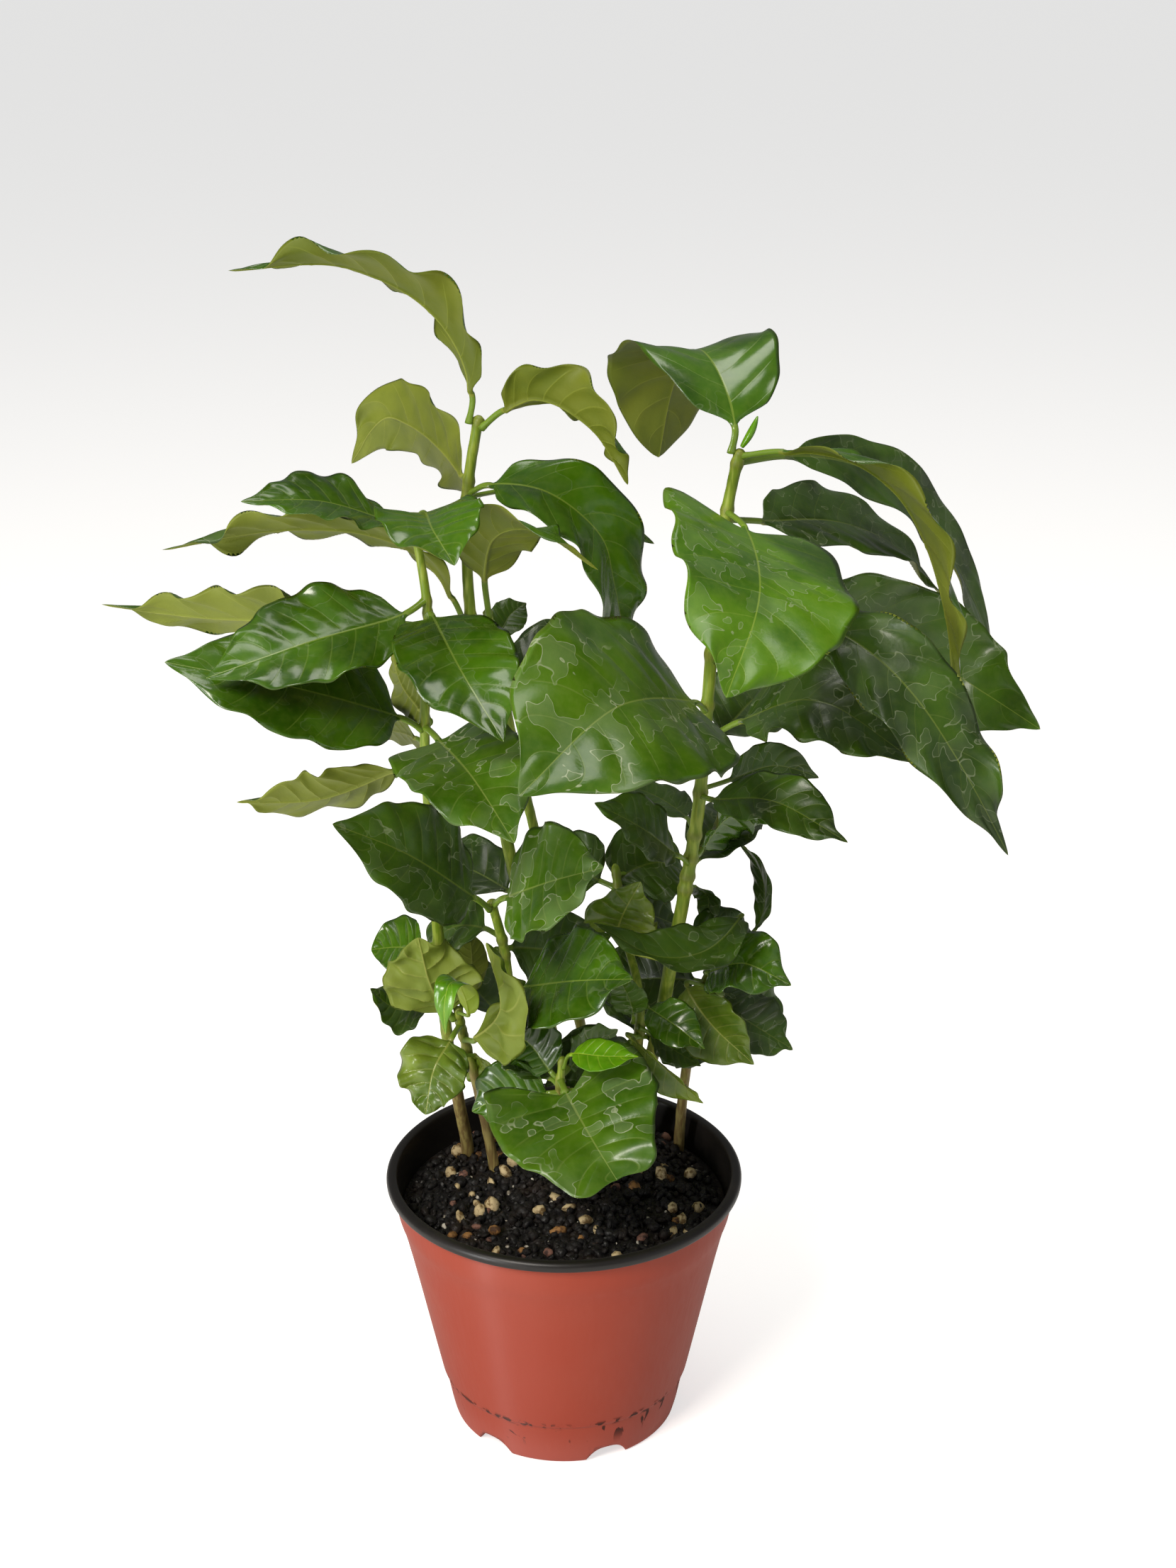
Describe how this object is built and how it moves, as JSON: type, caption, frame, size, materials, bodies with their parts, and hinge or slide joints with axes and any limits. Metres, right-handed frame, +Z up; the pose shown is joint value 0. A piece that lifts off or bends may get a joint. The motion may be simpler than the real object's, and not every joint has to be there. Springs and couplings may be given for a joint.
{
  "type": "potted coffee plant",
  "caption": "Potted coffee plant: several glossy-leaved seedlings in soil in a round terracotta-coloured plastic pot with a black rim.",
  "frame": {"origin": "middle of the pot's foot, on the surface it stands on", "axes": "+Z up along the pot's axis, -Y towards the side it is usually seen from, +X to that side's right"},
  "size_m": [0.301, 0.197, 0.4003],
  "materials": {
    "pot_plastic": "satin",
    "potting_soil": "matte",
    "green_stem": "satin",
    "coffee_leaf": "gloss",
    "young_leaf": "gloss",
    "crinkled_leaf": "satin"
  },
  "bodies": {
    "root": {"pot": "pot_plastic", "soil": "potting_soil", "stem_tall_left": "green_stem", "stem_tall_left_inner": "green_stem", "stem_tall_right": "green_stem", "stem_left": "green_stem", "stem_fork": "green_stem", "stem_front_left": "green_stem", "stem_front": "green_stem", "stem_middle_back": "green_stem", "stem_low_right": "green_stem", "leaf_crown_left": "coffee_leaf", "leaf_crown_right": "coffee_leaf", "leaf_crown_back": "coffee_leaf", "leaf_node_right": "coffee_leaf", "leaf_node_back": "coffee_leaf", "leaf_under_left": "coffee_leaf", "leaf_side_upright": "coffee_leaf", "leaf_top_left": "coffee_leaf", "leaf_top_front": "coffee_leaf", "leaf_mid_left": "coffee_leaf", "leaf_mid_front": "coffee_leaf", "leaf_mid_back": "coffee_leaf", "leaf_low_left": "coffee_leaf", "leaf_low_front": "coffee_leaf", "leaf_low_olive": "coffee_leaf", "leaf_left_round": "coffee_leaf", "leaf_fork_left": "coffee_leaf", "leaf_fork_right": "coffee_leaf", "leaf_fork_low": "coffee_leaf", "leaf_crinkled_up": "crinkled_leaf", "leaf_crinkled_low": "crinkled_leaf", "leaf_folded_light": "crinkled_leaf", "leaf_young_tip": "crinkled_leaf", "leaf_heart_front": "coffee_leaf", "leaf_heart_back": "coffee_leaf", "leaf_bright_young": "young_leaf", "leaf_small_glossy": "young_leaf", "leaf_narrow_folded": "young_leaf", "leaf_back_right": "coffee_leaf", "leaf_back_olive": "coffee_leaf", "leaf_folded_olive": "coffee_leaf", "leaf_low_dark": "coffee_leaf", "leaf_right_glossy": "coffee_leaf", "leaf_curved_dark": "coffee_leaf", "leaf_saddle": "coffee_leaf", "leaf_stem_left": "coffee_leaf", "leaf_stem_up": "coffee_leaf", "leaf_stem_back": "coffee_leaf", "leaf_lower_right": "coffee_leaf", "leaf_big_front": "coffee_leaf", "leaf_big_right": "coffee_leaf", "leaf_long_droop": "coffee_leaf", "leaf_far_right": "coffee_leaf", "leaf_center_bright": "coffee_leaf", "leaf_behind_bright": "coffee_leaf", "leaf_crown_arch": "coffee_leaf", "leaf_crown_far": "coffee_leaf", "leaf_crown_folded": "coffee_leaf", "bud_tall_right": "young_leaf"}
  },
  "joints": []
}
